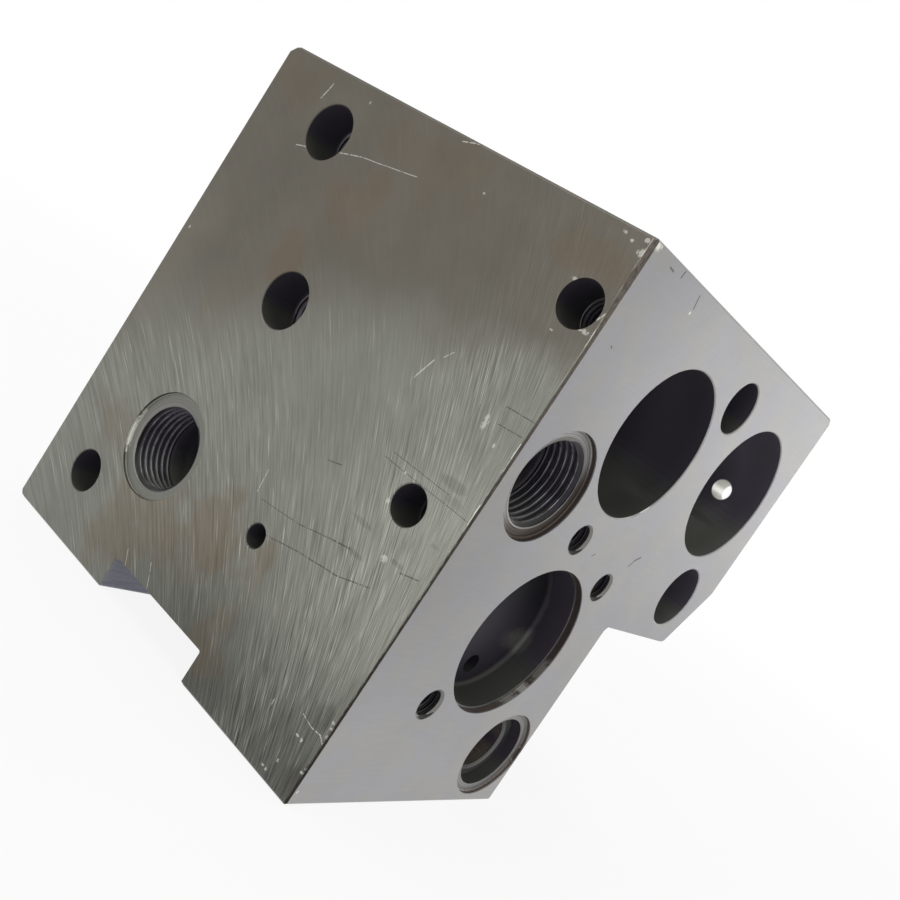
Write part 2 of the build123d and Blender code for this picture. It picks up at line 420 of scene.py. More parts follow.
def group_scratch():
    """Group: a thin line from one point to another.

    The nearest place on the line is its start plus a share of its length. The share is the dot
    product of the point's offset and the line over the line's dot product with itself, kept
    between 0 and 1.
    """
    inputs = {"Point": VECTOR, "From": VECTOR, "To": VECTOR, "Width": VALUE}
    net, given, out = shader_group("Scratch", inputs, {"Mask": VALUE})
    along = net.vector("SUBTRACT", given["To"], given["From"])
    offset = net.vector("SUBTRACT", given["Point"], given["From"])
    share = net.math("DIVIDE", net.vector("DOT_PRODUCT", offset, along, output=1),
                     net.vector("DOT_PRODUCT", along, along, output=1))
    share = net.most(net.math("MINIMUM", share, 1.0), 0.0)
    distance = net.vector("DISTANCE", offset, net.scale(along, share), output=1)
    net.put(out["Mask"], net.ramp(net.math("DIVIDE", distance, given["Width"]), 1.0, 0.3))


def group_swirl():
    """Group: arcs left by a large grinding wheel that passed upward, as fine grain and as bright lines.

    A place at a behind the front face and at height h lies on the arc that starts at height h - y,
    where y is the square root of R squared minus (m - a) squared for a wheel of radius R whose
    middle runs along a = m. Noise changes quickly with h - y and slowly with y, so each streak
    follows an arc.
    """
    net, given, out = shader_group("Swirl grain", {"Place": VECTOR}, {"Grain": VALUE, "Lines": VALUE})
    parts = net.split(given["Place"])
    aside = net.minus(WHEEL_MIDDLE, parts["Y"])
    square = net.minus(WHEEL_RADIUS ** 2, net.product(aside, aside))
    rise = net.math("SQRT", net.most(square, 1.0))
    start = net.minus(parts["Z"], rise)
    streak = net.join(net.product(start, GRAIN_STRETCH[0]), net.product(rise, GRAIN_STRETCH[1]))
    thin = net.join(net.product(start, LINE_STRETCH[0]), net.product(rise, LINE_STRETCH[1]), LINE_STRETCH[2])
    net.put(out["Grain"], net.noise(streak, 1.0, 2.5, 0.8))
    net.put(out["Lines"], net.ramp(net.noise(thin, 1.0, 1.5, 0.7), 0.6, 0.74))


def group_sides():
    """Group: depth of a place under the block's outer faces, and masks of its left face, front face and slot.

    The depth is the smallest of the distances to the outer planes, the step's corner, the bevel and
    the cut corners.
    """
    outputs = dict.fromkeys(("Depth", "Left", "Front", "Slot"), VALUE)
    net, given, out = shader_group("Sides of the block", {"Place": VECTOR}, outputs)
    parts = net.split(given["Place"])
    across, back, up = parts["X"], parts["Y"], parts["Z"]
    size = (CAD_BOX[1] - CAD_BOX[0]) / MM
    foot = net.minus(FOOT_WIDTH, across)
    step = net.minus(up, FOOT_HEIGHT)
    slope = Vector((BEVEL_HEIGHT, BEVEL_WIDTH)).normalized()
    bevel = net.product(net.minus(size.x - BEVEL_WIDTH, across), slope.x)
    bevel = net.sum(bevel, net.product(step, slope.y))
    right = net.minus(size.x, across)
    far = net.minus(size.y, back)
    high = net.minus(size.z, up)
    corners = ((far, high, TOP_BACK_CUT), (far, up, BOTTOM_BACK_CUT), (right, high, RIGHT_CUT))
    cuts = [net.minus(net.sum(first, second), cut) for first, second, cut in corners]
    depth = net.math("MINIMUM", across, back)
    for other in (right, far, high, up, net.most(foot, step), bevel, *cuts):
        depth = net.math("MINIMUM", depth, other)
    low = net.below(up, SLOT_HEIGHT + SLOT_SLACK)
    near = net.around(back, SLOT_MIDDLE, SLOT_WIDTH / 2 + SLOT_MOUTH)
    net.put(out["Depth"], depth)
    net.put(out["Left"], net.ramp(across, *LEFT_BORDER, smooth=False))
    net.put(out["Front"], net.ramp(back, *FRONT_BORDER, smooth=False))
    net.put(out["Slot"], net.product(low, near, net.above(across, SLOT_SLACK)))


GROUPS = (group_place, group_facing, group_noises, group_spot, group_scratch, group_swirl, group_sides)

# How far masks and marks waver, as shares of a shift of up to half a millimetre. A spot on a face needs a
# reach into that face only because its offset is divided by it
MASK_WAVER, MARK_WAVER, FLAT_REACH = (0.01, 0.01, 0.01), 0.5, 9
BUMP_HEIGHT = 0.05 * MM

# Marks on the left face, in millimetres from the front edge and from the bottom.
# Stains: place, reach both ways and strength
STAINS = [
    (54.0, 83.0, 8.0, 9.0, 0.22),
    (61.5, 67.0, 5.5, 7.0, 0.26),
    (42.0, 22.0, 17.0, 9.0, 0.34),
    (58.0, 17.0, 14.0, 13.0, 0.3),
    (64.0, 9.0, 7.0, 8.0, 0.3),
    (30.0, 9.0, 7.0, 8.0, 0.24),
    (78.0, 24.0, 8.0, 6.0, 0.2),
    (9.0, 93.0, 9.0, 5.0, 0.2),
    (84.0, 95.0, 10.0, 6.0, 0.16),
    (48.0, 94.0, 17.0, 8.0, 0.16),
    (70.0, 55.0, 9.0, 8.0, 0.12),
]
# Scratches: start, end and half the width
BRIGHT_SCRATCHES = [
    (22.3, 67.6, 23.8, 63.6, 0.17),
    (19.8, 70.4, 21.0, 68.8, 0.1),
    (39.1, 36.8, 38.6, 32.8, 0.1),
    (46.0, 90.4, 60.0, 88.4, 0.1),
    (60.0, 88.4, 75.5, 84.4, 0.13),
    (38.6, 99.7, 41.8, 98.9, 0.15),
    (75.4, 97.0, 76.4, 93.8, 0.17),
    (6.2, 12.3, 3.6, 11.75, 0.1),
    (3.6, 11.75, 1.4, 11.95, 0.14),
    (1.4, 11.95, 0.2, 11.1, 0.14),
    (50.5, 10.5, 47.2, 5.2, 0.1),
    (57.0, 9.0, 54.0, 4.0, 0.08),
    (0.5, 88.4, 0.55, 81.6, 0.09),
    (0.5, 87.2, 1.3, 85.8, 0.22),
    (0.7, 93.9, 0.6, 93.0, 0.16),
    (12.4, 10.4, 12.2, 9.2, 0.12),
]
DARK_SCRATCHES = [
    (8.8, 33.8, 15.5, 31.6, 0.16),
    (15.5, 31.6, 24.0, 30.2, 0.16),
    (24.0, 30.2, 33.0, 28.2, 0.13),
    (16.0, 36.2, 20.0, 35.4, 0.2),
    (20.0, 35.4, 27.0, 33.6, 0.13),
    (27.0, 33.6, 37.0, 32.4, 0.1),
    (26.5, 45.5, 29.6, 44.6, 0.13),
    (5.6, 38.7, 2.0, 39.7, 0.16),
    (0.5, 51.2, 20.0, 51.0, 0.09),
    (0.5, 68.6, 6.0, 68.2, 0.14),
    (1.0, 65.8, 5.5, 65.4, 0.12),
    (6.0, 52.6, 19.0, 52.4, 0.09),
]
# Soft dark smears: place, reach both ways and strength
SMEARS = [
    (6.4, 54.2, 3.8, 1.1, 0.24),
    (4.2, 52.2, 2.6, 1.0, 0.18),
    (16.5, 40.8, 4.0, 0.6, 0.2),
    (14.0, 36.2, 2.6, 0.7, 0.25),
    (3.2, 45.2, 1.8, 0.7, 0.2),
    (7.4, 39.4, 1.8, 0.5, 0.25),
    (2.4, 14.6, 2.0, 2.2, 0.3),
    (1.6, 3.6, 2.6, 3.4, 0.3),
    (14.0, 5.6, 3.0, 2.6, 0.16),
]
# Nicks: place and reach both ways
NICKS = [
    (7.7, 64.6, 0.55, 1.25),
    (9.6, 38.7, 0.65, 0.6),
    (64.8, 97.2, 0.25, 0.3),
    (32.0, 93.4, 0.3, 0.2),
    (88.6, 61.2, 0.3, 0.35),
    (1.3, 97.1, 0.5, 0.7),
    (3.8, 98.0, 0.35, 0.25),
    (1.6, 99.0, 0.45, 0.4),
    (5.6, 98.6, 0.4, 0.3),
    (4.2, 62.4, 0.22, 0.4),
    (0.4, 53.5, 0.35, 0.9),
    (0.2, 89.5, 0.5, 0.45),
    (0.1, 12.5, 0.45, 0.4),
    (3.9, 9.15, 0.35, 0.32),
    (4.9, 9.25, 0.4, 0.2),
    (5.5, 4.15, 0.2, 0.32),
    (7.4, 1.8, 0.3, 0.25),
    (6.5, 1.7, 0.25, 0.3),
    (0.75, 14.8, 0.3, 0.28),
    (0.45, 13.9, 0.3, 0.2),
    (0.65, 5.7, 0.4, 0.22),
    (0.15, 6.5, 0.4, 0.2),
    (14.85, 46.0, 0.35, 0.5),
    (15.05, 51.05, 0.25, 0.25),
    (2.2, 83.4, 1.4, 0.35),
    (8.7, 89.2, 0.8, 0.3),
    (7.0, 81.2, 0.3, 0.2),
    (1.2, 97.0, 0.9, 0.5),
]
# The same on the front face, in millimetres from the left edge and from the bottom
FRONT_SCRATCHES = [
    (52.5, 54.0, 53.4, 55.4, 0.22),
    (53.4, 55.4, 54.8, 56.4, 0.3),
    (18.5, 98.4, 19.1, 96.3, 0.22),
    (37.9, 53.4, 38.5, 53.9, 0.16),
    (5.1, 83.9, 5.4, 83.7, 0.2),
    (11.0, 99.4, 10.9, 98.3, 0.25),
    (6.6, 98.2, 8.0, 98.1, 0.22),
    (45.0, 24.9, 44.6, 23.9, 0.32),
]
FRONT_NICKS = [
    (18.85, 95.4, 0.25, 0.3),
    (1.1, 2.5, 0.3, 0.35),
    (0.6, 99.2, 1.2, 1.0),
]
# Fresh metal on parts of the rims and seat walls, on the front face and on the left face, with their
# strength: rubbed rims with painted glints on the front, and a painted bright crescent in the side port's
# seat on the left
FRONT_RIM_WEAR_AND_GLINTS = [
    (45.9, 25.2, 1.7, 1.6, 0.8),
    (43.4, 22.8, 2.6, 2.2, 0.45),
    (47.9, 29.6, 1.6, 3.2, 0.3),
    # Painted glints on the rim of the left cavity
    (45.2, 64.7, 2.0, 1.4, 0.9),
    (40.6, 61.7, 6.0, 1.4, 0.45),
]
LEFT_SEAT_HIGHLIGHT = [
    (73.2, 23.6, 2.3, 6.4, 0.95),
]
# Painted reflections inside the bores, as paler streaks and patches: place from the left, front and bottom,
# reach and strength
BORE_REFLECTIONS = [
    ((46.8, 8.5, 66.3), (1.9, 8.0, 2.4), 0.4),
    ((87.0, 9.0, 67.8), (1.2, 8.0, 1.4), 0.65),
    ((86.7, 11.0, 67.3), (0.9, 1.4, 0.9), 0.7),
    ((48.3, 7.0, 31.2), (9.0, 1.7, 3.6), 0.55),
    ((75.0, 10.0, 43.2), (3.2, 9.0, 3.2), 0.3),
]


def scratches(net, point, rows):
    """Largest mask of a list of scratches on one face.

    Each mask joins the largest one so far at once, so that few of them wait in the shader's memory.
    """
    total = None
    for start_aside, start_up, end_aside, end_up, width in rows:
        mask = net.group("Scratch", Point=point, From=(start_aside, start_up, 0), To=(end_aside, end_up, 0),
                         Width=width)["Mask"]
        total = mask if total is None else net.most(total, mask)
    return total


def spots(net, point, push, rows):
    """Largest mask of a list of spots in space, each times its strength where its row ends with one."""
    total = None
    for centre, radius, *strength in rows:
        mask = net.group("Ragged spot", Point=point, Push=push, Centre=centre, Radius=radius)["Mask"]
        mask = net.product(mask, *strength)
        total = mask if total is None else net.most(total, mask)
    return total


def face_spots(net, point, push, rows):
    """Largest mask of a list of spots on one face, whose points have no third direction."""
    return spots(net, point, push, [((aside, up, 0), (wide, high, FLAT_REACH), *strength)
                                    for aside, up, wide, high, *strength in rows])


class Surface:
    """Places, masks and noises of the block's surface that its finishes share."""

    def __init__(self, net):
        plain_place = net.group("Place on the block")["Place"]
        noises = net.group("Steel noises", Place=plain_place)
        self.mottle, self.wander, self.grit = noises["Mottle"], noises["Wander"], noises["Grit"]
        self.chips, self.hatch, self.tool = noises["Chips"], noises["Hatch"], noises["Tool"]
        self.swirl = net.group("Swirl grain", Place=plain_place)
        self.breaks = net.ramp(self.chips, 0.38, 0.5)

        # Masks waver a little, and marks waver more
        shift = net.join(net.minus(self.wander, 0.5), net.minus(self.mottle, 0.5))
        self.place = net.vector("MULTIPLY_ADD", shift, MASK_WAVER, plain_place)
        self.shift = net.scale(shift, MARK_WAVER)
        sides = net.group("Sides of the block", Place=self.place)
        self.depth, self.slot = sides["Depth"], sides["Slot"]
        self.on_left, self.on_front = sides["Left"], sides["Front"]
        parts = net.split(self.place)
        self.across, self.back, self.up = parts["X"], parts["Y"], parts["Z"]
        self.left_point = net.join(self.back, self.up)
        self.front_point = net.join(self.across, self.up)
        self.up_facing = net.group("Facing")["Up"]
        self.left_mark = net.vector("ADD", self.left_point, self.shift)
        self.front_mark = net.vector("ADD", self.front_point, self.shift)


def grain_strength(net, back, up):
    """How strong the grinding grain is: most near the front edge, and less toward the back and the foot."""
    near = net.product(net.ramp(back, 30.0, 12.0, 0.4, 1.5), net.ramp(up, 62.0, 46.0, 0.7, 1.0))
    near = net.most(near, net.ramp(up, 60.0, 30.0, 0.3, 0.72))
    near = net.product(near, net.ramp(up, 5.0, 24.0, 0.6, 1.0))
    return net.product(near, net.ramp(back, 60.0, 90.0, 1.0, 0.8))


def ground_tone(net, back, up):
    """Tone of the ground face: dark low at the front, dull low in the middle, pale halfway up at the ends."""
    low = net.blend(net.ramp(back, 10.0, 80.0), net.ramp(up, 3.0, 30.0, 0.44, 1.02),
                    net.ramp(up, 0.0, 30.0, 0.88, 0.97))
    front = net.product(net.ramp(back, 26.0, 4.0), net.ramp(up, 16.0, 40.0, 0.0, 0.2),
                        net.ramp(up, 70.0, 46.0))
    worn = net.product(net.ramp(back, 18.0, 30.0), net.ramp(back, 62.0, 50.0),
                       net.ramp(up, 38.0, 26.0, 0.0, -0.1))
    far = net.product(net.ramp(back, 78.0, 88.0), net.ramp(up, 40.0, 48.0),
                      net.ramp(up, 76.0, 62.0, 0.0, 0.16))
    return net.sum(net.sum(low, front), net.sum(worn, far))


def ground_face(net, steel, here):
    """Ground steel of the left face: its colour and its grain.

    A bright band lies below a slanting border, the grain follows the grinding wheel's arcs and
    is strongest near the front edge, and stains, smears, scratches and nicks lie over it. The
    border lies lower by fall times a plus bend times a squared at a distance a behind the front face.
    """
    back, up, point = here.back, here.up, here.left_mark
    fall = net.math("MULTIPLY_ADD", net.math("MULTIPLY_ADD", back, BAND_BEND, BAND_FALL), back, -BAND_TOP)
    above = net.sum(net.sum(up, fall), net.vary(here.mottle, -3.0, 3.0))
    softness = net.math("MULTIPLY_ADD", back, BAND_SOFTER, BAND_SOFT)
    dull = net.ramp(net.math("DIVIDE", above, softness), -1.0, 1.0)
    near = grain_strength(net, back, up)
    grain = net.product(net.vary(here.swirl["Grain"], -0.8, 1.0, smooth=False), near)
    clear = net.span(dull, 1.0, 0.3)
    shade = net.sum(ground_tone(net, back, up), net.product(grain, clear, 0.5))
    shade = net.product(shade, net.ramp(here.mottle, 0.25, 0.75, 0.94, 1.06))
    tint = net.shade(net.mix(dull, steel.ground, steel.ground_dark), shade)
    lines = net.product(here.swirl["Lines"], near, net.span(dull, 0.5, 0.08))
    tint = net.mix(lines, tint, steel.bare_and_highlight)

    # Marks over the grain
    push = net.vary(here.wander, -0.45, 0.45, smooth=False)
    tint = net.mix(face_spots(net, point, push, STAINS), tint, steel.stain)
    tint = net.mix(face_spots(net, point, push, SMEARS), tint, steel.dark)
    grime = net.product(scratches(net, point, DARK_SCRATCHES), here.breaks, 0.65)
    tint = net.mix(grime, tint, steel.dark)
    bright = net.product(scratches(net, point, BRIGHT_SCRATCHES), here.breaks, 0.6)
    tint = net.mix(bright, tint, steel.bare_and_highlight)
    nicks = face_spots(net, point, net.span(here.breaks, 0.4, -0.3), NICKS)
    return net.mix(net.product(nicks, 0.5), tint, steel.bare_and_highlight), grain


def milled_faces(net, steel, here):
    """Milled steel of the front and the plain faces with the front's scratches; paler toward the foot and
    darker beside the front corner at the foot, both painted light and shade.
    """
    across, up = here.across, here.up
    tone = net.sum(net.vary(here.mottle, 0.98, 1.02), net.vary(here.hatch, -0.014, 0.014))
    tone = net.sum(tone, net.vary(here.grit, -0.02, 0.02))
    # Painted light: paler toward the foot and darker toward the top
    tone = net.product(tone, net.ramp(up, 0.0, 100.0, 1.15, 0.93, smooth=False))
    # Painted shade: darker beside the front corner at the foot
    foot = net.blend(net.ramp(up, 14.0, 40.0), 1.0, net.ramp(across, 0.0, 34.0, 0.86, 1.0))
    tone = net.product(tone, foot)
    marks = net.product(scratches(net, here.front_mark, FRONT_SCRATCHES), here.on_front)
    milled = net.mix(net.ramp(here.wander, 0.38, 0.62), steel.milled, steel.milled_cool)
    return net.mix(net.product(marks, 0.75), net.shade(milled, tone), steel.dark)


def corner_skin(net, here):
    """Mask of the front corner's brown skin, frayed on the front face, and its width on the left face."""
    across, back, up = here.across, here.back, here.up
    width = net.sum(net.ramp(up, 80.0, 95.0, 0.25, 0.8), net.vary(here.chips, -0.08, 0.08))
    width = net.sum(width, net.ramp(up, 38.0, 50.0, 0.0, 0.06))
    corner = net.product(net.ramp(net.minus(back, width), 0.05, 0.0), net.ramp(back, 0.02, 0.05),
                         net.ramp(across, 0.5, 0.44))
    frayed = net.minus(across, net.ramp(here.chips, 0.46, 0.7, -0.03, 0.4))
    frayed = net.product(net.ramp(frayed, 0.03, -0.03), here.on_front)
    return net.most(corner, frayed), width


def seats(net, here):
    """Masks of the turned seats' walls and floors, the lathe's rings, and distances to the seats' middles."""
    depth, wall, floor, nearest, away = here.depth, 0.0, 0.0, None, {}
    for name, radius, reach in SEATS:
        middle = (Vector(MOUNTS[name]["pos_m"]) - CAD_BOX[0]) / MM
        point, aside = here.front_point, middle.x
        if name == "port_side":
            point, aside = here.left_point, middle.y
        gap = net.vector("DISTANCE", point, (aside, middle.z, 0), output=1)
        on_wall = net.product(net.around(gap, radius, WALL_SLACK), net.below(depth, reach - FLOOR_SLACK))
        wall = net.most(wall, on_wall)
        on_floor = net.product(net.around(depth, reach, FLOOR_SLACK), net.below(gap, radius - 0.05))
        floor = net.most(floor, on_floor)
        nearest = gap if nearest is None else net.math("MINIMUM", nearest, gap)
        away[name] = gap
    step = net.product(net.around(depth, PLUG_STEP_DEPTH, STEP_SLACK),
                       net.below(away["plug_seat"], PLUG_STEP_RADIUS))
    turned = net.rings(net.sum(net.product(nearest, RINGS_ACROSS), net.product(depth, RINGS_DOWN)), 1.0)
    return wall, net.most(floor, step), net.vary(turned, 0.0, 1.0), away


def bore_finish(net, steel, here, ragged, away):
    """Oily steel of the bores, with painted light and shade: paler where it faces upward, paler deeper down
    and toward the right side, darker in the pocket and darkest on its floor at the top, painted reflections
    as paler streaks and patches, and rusty rings in the plug's bore.
    """
    point = net.vector("ADD", here.place, here.shift)
    push = net.product(ragged, 0.3)
    depth, across, up = here.depth, here.across, here.up
    # Painted light: lighter where the bore faces upward
    bore = net.mix(net.ramp(here.up_facing, 0.1, 0.7), steel.bore, steel.bore_lit)
    pocket = net.below(away["pilot_pocket"], POCKET_INSIDE)
    # Painted light: paler deeper down and toward the right side, against the shade there
    plain = net.product(net.ramp(depth, 2.0, 13.0, 0.8, 1.7), net.ramp(across, 54.0, 68.0, 1.0, 1.8))
    # Painted shade: the pocket's walls a little darker, its floor much darker and darkest at its top
    pocket_floor_shade = net.ramp(up, 43.0, 30.0, 0.2, 0.6)
    tone = net.blend(pocket, plain, net.blend(net.ramp(depth, 6.4, 7.4), 0.9, pocket_floor_shade))
    bore = net.shade(bore, tone)
    rusty = net.product(net.around(away["plug_seat"], PLUG_BORE, 0.3), net.ramp(depth, 3.9, 4.4))
    rings = net.rings(depth, 1.4)
    rust = net.product(rusty, net.ramp(rings, 0.35, 0.6), 0.8)
    bore = net.mix(rust, net.shade(bore, net.blend(rusty, 1.0, 2.2)), steel.rust)
    # Painted reflections: paler streaks and patches
    return net.mix(spots(net, point, push, BORE_REFLECTIONS), bore, steel.gleam)


def seat_finish(net, steel, here, bore, wall, floor, rings):
    """Turned seats: brown walls and ringed floors. The front port's floor is brown at its lower right as
    painted shade, and floors deeper than 2 to 3 mm are darkened as painted shade.
    """
    across, up = here.across, here.up
    wall_tone = net.product(net.span(rings, 0.5, 1.5), net.ramp(up, 30.0, 22.0, 1.0, 1.9))
    bore = net.mix(wall, bore, net.shade(steel.seat_wall, wall_tone))
    # Painted shade: the front port's floor brown at its lower right
    brown = net.product(net.ramp(net.minus(across, up), -48.0, -40.0), net.ramp(up, 40.0, 48.0))
    turned = net.mix(brown, net.shade(steel.milled, net.span(rings, 0.6, 1.0)),
                     net.shade(steel.seat_wall, net.span(rings, 0.8, 1.4)))
    turned = net.mix(net.below(across, LEFT_SEAT), turned,
                     net.shade(steel.ground, net.span(rings, 0.82, 1.02)))
    # Painted shade: floors deeper than 2 to 3 mm darker
    return net.mix(floor, bore, net.shade(turned, net.ramp(here.depth, 2.0, 3.0, 1.0, 0.45)))


def rim_wear_and_highlights(net, here, ragged, wall, floor, inside, rim, away):
    """Mask of worn metal on rubbed rims and seat walls, with painted highlights: glints on some front rims,
    and a painted bright crescent on the side port's seat wall and outer ring.
    """
    walls = net.most(net.product(wall, inside), net.product(rim, net.below(here.depth, RIM_DEPTH)))
    # Rubbed rims on the front, partly worn metal and partly painted glints
    rubbed = net.product(face_spots(net, here.front_mark, ragged, FRONT_RIM_WEAR_AND_GLINTS), net.below(here.back, 1.6))
    # Painted highlight: the side port's outer ring beside its wall
    outer_ring_highlight = net.product(floor, inside, net.ramp(away["port_side"], 9.1, 9.5),
                             net.below(here.across, LEFT_SEAT), 0.7)
    walls = net.most(walls, outer_ring_highlight)
    # Painted highlight: a bright crescent in the side port's seat
    on_left = net.product(face_spots(net, here.left_mark, ragged, LEFT_SEAT_HIGHLIGHT), net.below(here.across, 0.7))
    return net.product(walls, net.most(rubbed, on_left))


def cross_drilling_light(net, here):
    """Mask of the cross drilling's wall near the right face, painted bright as light falling through the
    drilling.
    """
    gap = net.vector("DISTANCE", here.left_point, CROSS_PLACE, output=1)
    return net.product(net.around(gap, CROSS_RADIUS, 0.1), net.above(here.across, CROSS_START))


def corner_line(net, here, skin_width):
    """Mask of the rubbed line beside the front corner's skin, on the left face."""
    gap = net.minus(net.minus(here.back, skin_width), 0.08)
    line = net.ramp(net.math("ABSOLUTE", gap), 0.12, 0.05)
    return net.product(line, net.ramp(here.across, 0.1, 0.04), net.ramp(here.wander, 0.42, 0.52),
                       net.most(net.around(here.up, 55.5, 9.5), net.ramp(here.up, 62.0, 84.0, 0.0, 0.35)))


def new_material(name):
    """Material with its net and its shader."""
    material = bpy.data.materials.new(name)
    material.use_nodes = True
    return material, Net(material.node_tree), material.node_tree.nodes["Principled BSDF"].inputs


def steel_material(steel):
    """Material of the block: milled and ground faces, stains, marks, dark bores and a battered corner."""
    material, net, shader = new_material("worked_steel")
    here = Surface(net)
    across, back, up, depth = here.across, here.back, here.up, here.depth

    # Faces and the slot, which shows the milling cutter's lines
    ground, grain = ground_face(net, steel, here)
    body = milled_faces(net, steel, here)
    body = net.mix(here.on_left, body, net.shade(ground, net.ramp(across, 0.02, 0.1, 1.0, 0.6)))
    body = net.mix(here.slot, body, net.shade(steel.slot, net.vary(here.tool, 0.9, 1.1)))

    # Rubbed edges and nicks of the front
    corner, skin_width = corner_skin(net, here)
    open_face = net.minus(1.0, net.most(corner, here.slot))
    inside = net.product(net.above(depth, RIM_DEPTH), open_face)
    rim = net.product(net.ramp(depth, 0.01, 0.05), open_face)
    rubbed = net.product(rim, net.ramp(across, 1.0, 1.5), net.ramp(here.chips, 0.45, 0.62, 0.0, 0.2))
    body = net.mix(rubbed, body, steel.bare_and_highlight)
    ragged = net.vary(here.chips, -0.4, 0.4)
    worn = face_spots(net, here.front_mark, ragged, FRONT_NICKS)
    body = net.mix(net.product(worn, net.below(back, 0.5), 0.8), body, steel.bare_and_highlight)

    # Bores and turned seats, with painted light, shade and reflections, painted glints on some rims, and the
    # cross drilling painted as lit
    wall, floor, rings, away = seats(net, here)
    bore = bore_finish(net, steel, here, ragged, away)
    body = net.mix(inside, body, seat_finish(net, steel, here, bore, wall, floor, rings))
    # Rubbed rims, with painted highlights on some rims and in the side port's seat
    body = net.mix(rim_wear_and_highlights(net, here, ragged, wall, floor, inside, rim, away), body, steel.bare_and_highlight)
    # Painted light: the cross drilling's wall bright as if lit through it
    body = net.mix(cross_drilling_light(net, here), body, steel.bare_and_highlight)

    # Front corner: brown skin, paler toward the top, with a rubbed line on its left side
    skin = net.mix(net.ramp(up, 20.0, 96.0), steel.scale_low, steel.scale)
    body = net.mix(corner, body, net.shade(skin, net.ramp(here.chips, 0.3, 0.65, 0.6, 1.15)))
    body = net.mix(corner_line(net, here, skin_width), body, steel.bare_and_highlight)

    # The oily bores are less metallic than the faces, and smoother
    net.put(shader["Base Color"], body)
    hollow = net.product(inside, net.minus(1.0, net.most(floor, wall)))
    net.put(shader["Metallic"], net.math("MULTIPLY_ADD", hollow, -0.5, 0.75))
    net.put(shader["Specular IOR Level"], 0.2)
    rough = net.blend(here.on_left, net.vary(here.grit, 0.5, 0.58),
                      net.vary(here.mottle, 0.46, 0.4))
    net.put(shader["Roughness"], net.blend(hollow, rough, 0.42))
    height = net.math("MULTIPLY_ADD", here.grit, 0.25, net.product(grain, here.on_left, 0.6))
    height = net.math("MULTIPLY_ADD", net.product(here.chips, corner), 3.0, height)
    normal = net.add("ShaderNodeBump", {"Strength": 0.4, "Distance": BUMP_HEIGHT, "Height": height})
    net.put(shader["Normal"], normal)
    return material


def thread_material(steel):
    """Material of the threads, from the attribute "crest": dark oily roots, painted lighter where they face
    upward and painted darker near the mouth as light and shade, crests partly worn and partly a painted
    highlight, and pale mouths.
    """
    _, net, shader = new_material("thread_steel")
    crest = net.add("ShaderNodeAttribute", output="Fac", attribute_name="crest")
    place = net.group("Place on the block")["Place"]
    parts = net.split(place)
    depth = net.math("MINIMUM", parts["X"], parts["Y"])
    smear = net.noise(place, 0.35, 3.0, 0.6)
    # Bright crests: partly worn metal, partly a painted highlight
    worn = net.product(net.ramp(crest, 0.9, 1.0), net.ramp(smear, 0.4, 0.62, 0.25, 1.0))
    mouth = net.ramp(crest, 1.3, 1.7)
    facing = net.split(net.add("ShaderNodeNewGeometry", output="Normal"))
    # Painted light: roots lighter where they face upward
    dark = net.mix(net.ramp(facing["Z"], 0.1, 0.9), steel.bore, steel.gleam)
    # Painted shade: roots darker near the mouth
    dark = net.shade(dark, net.product(net.vary(smear, 0.7, 1.0),
                                       net.ramp(depth, 1.2, 3.6, 0.35, 1.1)))
    tint = net.mix(worn, dark, steel.crest)
    net.put(shader["Base Color"], net.mix(mouth, tint, steel.mouth))
    net.put(shader["Roughness"], net.span(mouth, 0.34, 0.45))
    net.put(shader["Metallic"], net.span(crest, 0.25, 0.75))
    net.put(shader["Specular IOR Level"], 0.3)


def closed_grid(name, points, attribute):
    """Mesh object of a grid of points, rows by columns, whose columns close round on themselves.

    Faces are numbered as a whole: point row r and column c is r times the columns plus c, and
    each quad takes two neighbours in its row and the two in the next.
    """
    rows, columns = points.shape[:2]
    index = np.arange(rows * columns).reshape(rows, columns)
    beside = np.roll(index, -1, axis=1)
    quads = np.stack([index[:-1], beside[:-1], beside[1:], index[1:]], axis=-1).reshape(-1, 4)
    mesh = bpy.data.meshes.new(name)
    mesh.vertices.add(rows * columns)
    mesh.vertices.foreach_set("co", points.reshape(-1).astype(np.float32))
    mesh.loops.add(quads.size)
    mesh.loops.foreach_set("vertex_index", quads.reshape(-1).astype(np.int32))
    mesh.polygons.add(len(quads))
    mesh.polygons.foreach_set("loop_start", np.arange(0, quads.size, 4, dtype=np.int32))
    mesh.update(calc_edges=True)
    mesh.polygons.foreach_set("use_smooth", np.ones(len(quads), bool))
    layer = mesh.attributes.new("crest", "FLOAT", "POINT")
    layer.data.foreach_set("value", attribute.reshape(-1).astype(np.float32))
    mesh.validate()
    piece = bpy.data.objects.new(name, mesh)
    bpy.context.scene.collection.objects.link(piece)
    return piece


def hole_frame(axis):
    """Directions to the viewer's right, upward and outward on a face that is seen from outside."""
    out = np.array(axis, float)
    up = np.array([0.0, 0.0, 1.0])
    return np.cross(up, out), up, out


